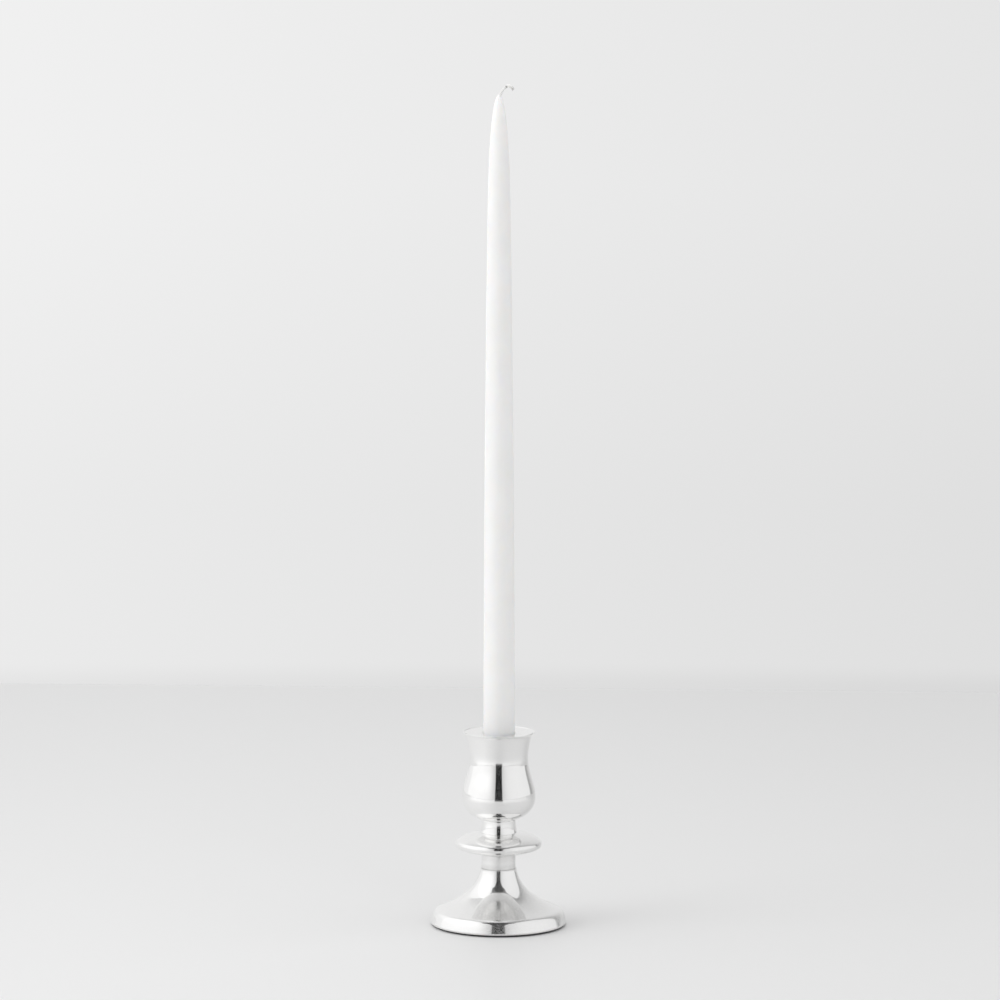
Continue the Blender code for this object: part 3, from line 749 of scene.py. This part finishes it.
# =====================================================================
# stage, light and camera
# =====================================================================
def stage_material(name, colour, rough):
    """Pale surface, seen from its upper side only.  What the polished
    metal sees of it carries painted light and shade, as on a table between
    two white panels: brightest at the left, dull towards the dark front."""
    n = Nodes(name)
    at = object_coords(n)
    cloud = n.noise(at, 1.6, 3.0, 0.5)
    shade = n.tint(n.math('MULTIPLY', cloud, 0.5), tuple(c * 1.01 for c in colour),
                   tuple(c * 0.985 for c in colour))
    split = n.add('ShaderNodeSeparateXYZ')
    n.link(at, split.inputs[0])
    x, y, _ = split.outputs
    turn = n.math('ARCTAN2', x, n.math('MULTIPLY', y, -1.0))
    u = n.math('ADD', n.math('DIVIDE', turn, math.tau), 0.5)

    def az(deg):
        return deg / 360.0 + 0.5

    # painted light and shade by direction round the object: lightest at the left, darkest in
    # front and at the back right
    ring = n.ramp(u, [(0.0, 0.88), (az(-150), 0.88), (az(-110), 0.90),
                      (az(-60), 0.90), (az(-30), 0.82), (az(-8), 0.77),
                      (az(8), 0.75), (az(30), 0.78), (az(70), 0.80),
                      (az(100), 0.78), (az(130), 0.70), (az(155), 0.78),
                      (1.0, 0.88)])
    # painted shade: darker far out in front, where the dark gap is
    far = n.span(y, -0.55, -1.6)
    aside = n.math('DIVIDE', n.math('ABSOLUTE', x),
                   n.math('MAXIMUM', n.math('MULTIPLY', y, -1.0), 0.05))
    middle = n.span(aside, 0.26, 0.19)
    fade = n.math('SUBTRACT', 1.0, n.math('MULTIPLY', n.math('MULTIPLY', far, middle), 0.88))
    # painted light: lighter away from the object on its front half
    distance = n.math('POWER', n.math('ADD', n.math('MULTIPLY', x, x),
                                      n.math('MULTIPLY', y, y)), 0.5)
    nearer = n.math('MULTIPLY', n.span(distance, 0.30, 0.95),
                    n.span(y, 0.4, -0.1))
    tone = n.tint(1.0, shade, ring, 'MULTIPLY')
    tone = n.tint(1.0, tone, n.math('ADD', 1.0, n.math('MULTIPLY', nearer, 0.22)),
                  'MULTIPLY')
    tone = n.tint(1.0, tone, fade, 'MULTIPLY')
    seen = n.add('ShaderNodeLightPath').outputs['Is Camera Ray']
    body = n.add('ShaderNodeBsdfPrincipled')
    # painted falloff for the camera's own view: lighter at the left and near, darker at the right
    # and far
    plain = n.math('MULTIPLY', n.span(x, -0.3, 0.3, 0.907, 0.864, smooth=False),
                   n.span(y, -0.1, 0.95, 1.0, 0.965, smooth=False))
    plain = n.tint(1.0, shade, plain, 'MULTIPLY')
    n.link(n.tint(seen, tone, plain), body.inputs['Base Color'])
    body.inputs['Roughness'].default_value = rough
    body.inputs['Specular IOR Level'].default_value = 0.3
    clear = n.add('ShaderNodeBsdfTransparent')
    side = n.add('ShaderNodeNewGeometry').outputs['Backfacing']
    mix = n.add('ShaderNodeMixShader')
    n.link(side, mix.inputs[0])
    n.link(body.outputs[0], mix.inputs[1])
    n.link(clear.outputs[0], mix.inputs[2])
    out = n.add('ShaderNodeOutputMaterial')
    n.link(mix.outputs[0], out.inputs['Surface'])
    return n.owner


def panel(name, corners, material):
    mesh = bpy.data.meshes.new(name)
    mesh.from_pydata([tuple(c) for c in corners], [], [(0, 1, 2, 3)])
    obj = bpy.data.objects.new(name, mesh)
    bpy.context.scene.collection.objects.link(obj)
    obj.data.materials.append(material)
    return obj


BACK_Y, BACK_SLOPE = 1.010, -0.033      # back edge of the table, a little askew
FLOOR_Z = -0.0002
floor = panel("floor", ((-4, -6, FLOOR_Z), (4, -6, FLOOR_Z),
                        (4, BACK_Y + 4 * BACK_SLOPE, FLOOR_Z),
                        (-4, BACK_Y - 4 * BACK_SLOPE, FLOOR_Z)),
              stage_material("pale_floor", (0.88, 0.88, 0.88), 0.5))


def studio_world():
    """White side panels, a dark gap in front, a soft overhead: the light of
    a plain tabletop studio, as a function of direction only."""
    n = Nodes("studio", world=True)
    d = n.add('ShaderNodeTexCoord').outputs['Generated']
    split = n.add('ShaderNodeSeparateXYZ')
    n.link(d, split.inputs[0])
    dx, dy, dz = split.outputs
    ax = n.math('ABSOLUTE', dx)
    turn = n.math('ARCTAN2', dx, n.math('MULTIPLY', dy, -1.0))
    u = n.math('ADD', n.math('DIVIDE', turn, math.tau), 0.5)

    def at(deg):
        return deg / 360.0 + 0.5

    # brightness of the panels and walls by azimuth, 0 = front, + = right
    side = n.ramp(u, [(0.0, 0.84), (at(-165), 0.88), (at(-148), 0.84),
                      (at(-138), 0.90), (at(-120), 0.92), (at(-112), 1.04),
                      (at(-70), 1.05), (at(-55), 1.02), (at(-40), 0.98),
                      (at(-32), 0.92), (at(-25), 0.82), (at(-18), 0.70),
                      (at(-12.8), 0.60), (at(-11.2), 0.02), (at(10.6), 0.02),
                      (at(12.2), 0.66), (at(17), 0.715), (at(24), 0.80),
                      (at(31), 0.835), (at(42), 0.87), (at(70), 0.885),
                      (at(117), 0.86), (at(122), 0.34), (at(126), 0.36),
                      (at(133), 0.48), (at(140), 0.56), (at(150), 0.66),
                      (at(165), 0.76), (1.0, 0.84)])
    dark = n.ramp(u, [(0.0, 0.84), (at(-150), 0.84), (at(-134), 0.70),
                      (at(-118), 0.68), (at(-100), 0.70), (at(-80), 0.68),
                      (at(-60), 0.48), (at(-46), 0.36), (at(-36), 0.07),
                      (at(-12), 0.02), (at(12), 0.02), (at(34), 0.05),
                      (at(46), 0.19), (at(60), 0.30), (at(100), 0.40),
                      (at(114), 0.30), (at(124), 0.28), (at(131), 0.40),
                      (at(142), 0.60), (1.0, 0.84)])
    # top edge of the long side panels: dz = k |dx|, k a quarter of 'reach'
    reach = n.ramp(u, [(0.0, 0.10), (at(-160), 0.22), (at(-137), 0.32),
                       (at(-118), 0.43), (at(-108), 0.57), (at(-82), 0.61),
                       (at(-54), 0.66), (at(-43), 0.62), (at(-38), 0.55),
                       (at(-30), 0.68), (at(-24), 0.78), (at(-18), 0.84),
                       (at(-12), 0.88), (at(12), 0.88), (at(18), 0.84),
                       (at(24), 0.78), (at(30), 0.70), (at(38), 0.60),
                       (at(57), 0.61), (at(74), 0.56), (at(102), 0.50),
                       (at(118), 0.46), (at(125), 0.33), (at(150), 0.20),
                       (1.0, 0.10)])
    above = n.span(n.math('SUBTRACT', dz, n.math('MULTIPLY', n.math('MULTIPLY', reach, 4.0), ax)),
                   -0.07, 0.05)
    back = n.span(dy, 0.55, 0.80)
    above = n.math('MULTIPLY', above, n.math('SUBTRACT', 1.0, back))
    high = n.span(dz, 0.12, 0.45)
    left = n.span(dx, -0.25, -0.60)
    lift = n.math('ADD', 1.0, n.math('MULTIPLY', n.math('MULTIPLY', high, left), 0.12))
    side = n.math('MULTIPLY', side, lift)
    low = n.math('ADD', n.math('MULTIPLY', side, n.math('SUBTRACT', 1.0, above)),
                 n.math('MULTIPLY', dark, above))
    # a few small glints in the dark gap
    glint = n.noise(d, 60.0, 1.0, 0.5)
    glint = n.math('MULTIPLY', n.span(glint, 0.62, 0.72), 0.10)
    low = n.math('ADD', low, n.math('MULTIPLY', glint, n.span(dy, -0.93, -0.965)))
    top = n.span(dz, 0.955, 0.998)
    crown = n.ramp(u, [(0.0, 0.86), (at(-90), 0.90), (at(-45), 0.82),
                       (at(0), 0.68), (at(45), 0.72), (at(90), 0.78),
                       (1.0, 0.86)])
    sky = n.mix(top, low, crown)
    seen = n.add('ShaderNodeLightPath').outputs['Is Camera Ray']
    # what the camera sees behind the table: a pale wall with painted light and shade, lighter at
    # the left, darker to the right and lower down, with a painted shadow line at the table's back
    # edge
    wall = n.span(dx, -0.09, 0.09, 0.875, 0.785, smooth=False)
    wall = n.math('ADD', wall, n.span(dz, -0.075, -0.13, 0.0, -0.045, smooth=False))
    # painted shadow line where the wall meets the table's back edge
    wall = n.math('ADD', wall, n.span(dz, -0.1565, -0.1612, 0.0, -0.05))
    level = n.mix(seen, sky, wall)
    bg = n.add('ShaderNodeBackground')
    n.link(level, bg.inputs['Color'])
    bg.inputs['Strength'].default_value = 1.0
    out = n.add('ShaderNodeOutputWorld')
    n.link(bg.outputs[0], out.inputs['Surface'])
    bpy.context.scene.world = n.owner


studio_world()


def soft_light(name, at, aim, size, power):
    data = bpy.data.lights.new(name, 'AREA')
    data.shape = 'RECTANGLE'
    data.size, data.size_y = size
    data.energy = power
    obj = bpy.data.objects.new(name, data)
    bpy.context.scene.collection.objects.link(obj)
    obj.location = at
    obj.rotation_mode = 'QUATERNION'
    obj.rotation_quaternion = (Vector(aim) - Vector(at)).to_track_quat('-Z', 'Y')
    obj.visible_glossy = False
    obj.visible_camera = False
    return obj


soft_light("key_left", (-2.2, -0.9, 1.5), (0, 0.2, 0.2), (1.6, 1.6), 12.0)
soft_light("overhead", (-0.2, -0.2, 2.6), (0, 0.1, 0), (2.4, 2.4), 16.0)
soft_light("fill_front", (0.9, -2.6, 1.3), (0, 0, 0.25), (1.4, 1.4), 9.4)

cam_data = bpy.data.cameras.new("camera")
cam_data.sensor_width = 36.0
cam_data.lens = 208.14
cam_data.clip_start, cam_data.clip_end = 0.05, 60.0
cam = bpy.data.objects.new("camera", cam_data)
bpy.context.scene.collection.objects.link(cam)
cam.matrix_world = (Matrix.Translation((0.0001, -3.9183, 0.8056))
                    @ Matrix.Rotation(math.radians(90 - 7.4255), 4, 'X')
                    @ Matrix.Rotation(math.radians(0.2), 4, 'Z'))
bpy.context.scene.camera = cam
bpy.context.scene.view_settings.view_transform = 'Standard'
bpy.context.scene.view_settings.look = 'None'
